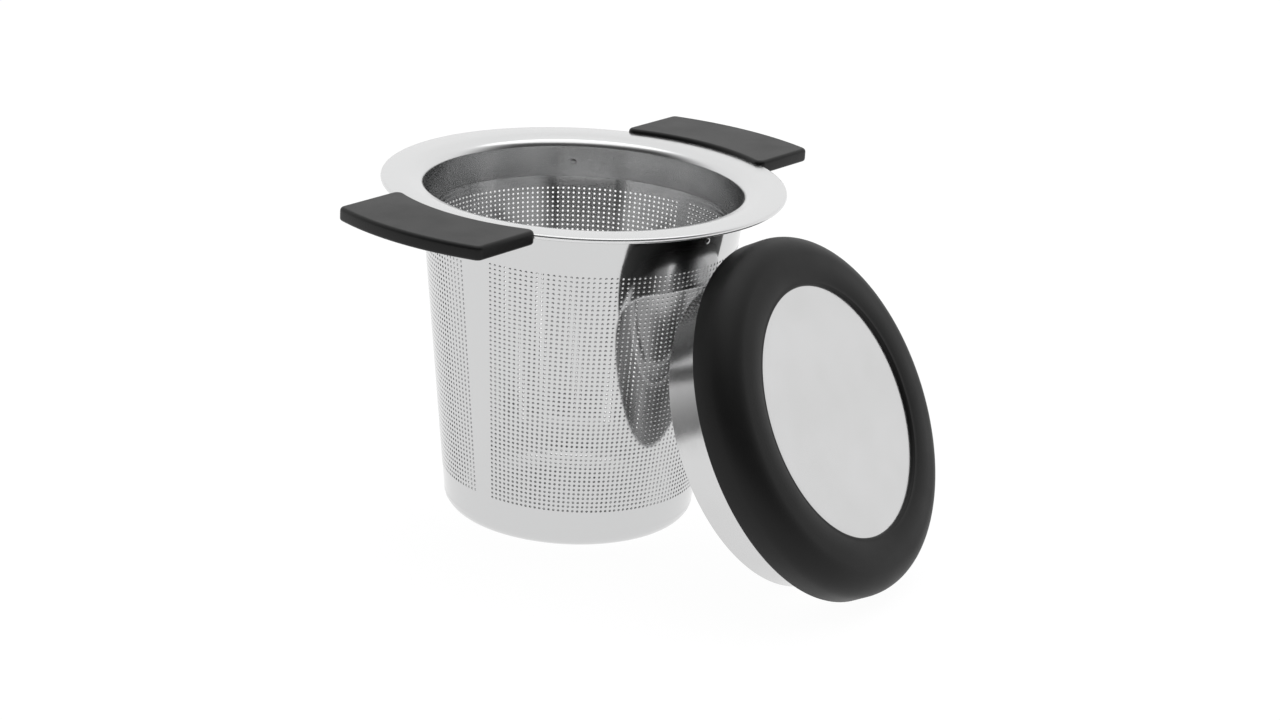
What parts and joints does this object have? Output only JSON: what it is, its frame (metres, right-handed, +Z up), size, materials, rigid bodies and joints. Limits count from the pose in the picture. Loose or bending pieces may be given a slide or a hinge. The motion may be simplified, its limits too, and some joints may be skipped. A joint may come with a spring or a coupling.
{
  "type": "tea strainer",
  "caption": "Tapered steel infuser basket with an etched wall, a flanged rim with two grips, and a rubber-edged lid leaning beside it.",
  "frame": {"origin": "centre of the basket's underside, on the surface that it stands on", "axes": "+Z up along the basket's axis, the two grips lie along X, the lid leans on the -Y side"},
  "size_m": [0.1318, 0.1403, 0.0834],
  "materials": {
    "wall_steel": "bright rolled steel sheet, etched through with rows of small holes",
    "dish_steel": "bright drawn steel sheet",
    "rim_steel": "bright satin steel sheet",
    "grip": "soft matt black",
    "lid_steel": "satin steel disc, bright skirt",
    "lid_rubber": "soft satin black"
  },
  "bodies": {
    "basket": {"strainer_wall": "wall_steel", "base_dish": "dish_steel", "rim_flange": "rim_steel", "grip_left": "grip", "grip_right": "grip"},
    "lid": {"lid_cap": "lid_steel", "lid_ring": "lid_rubber"}
  },
  "joints": [
    {"name": "lid_away", "type": "slide", "parent": "basket", "child": "lid", "axis": [0.1067, -0.8756, 0.471], "range_m": [0, 0.06]}
  ]
}
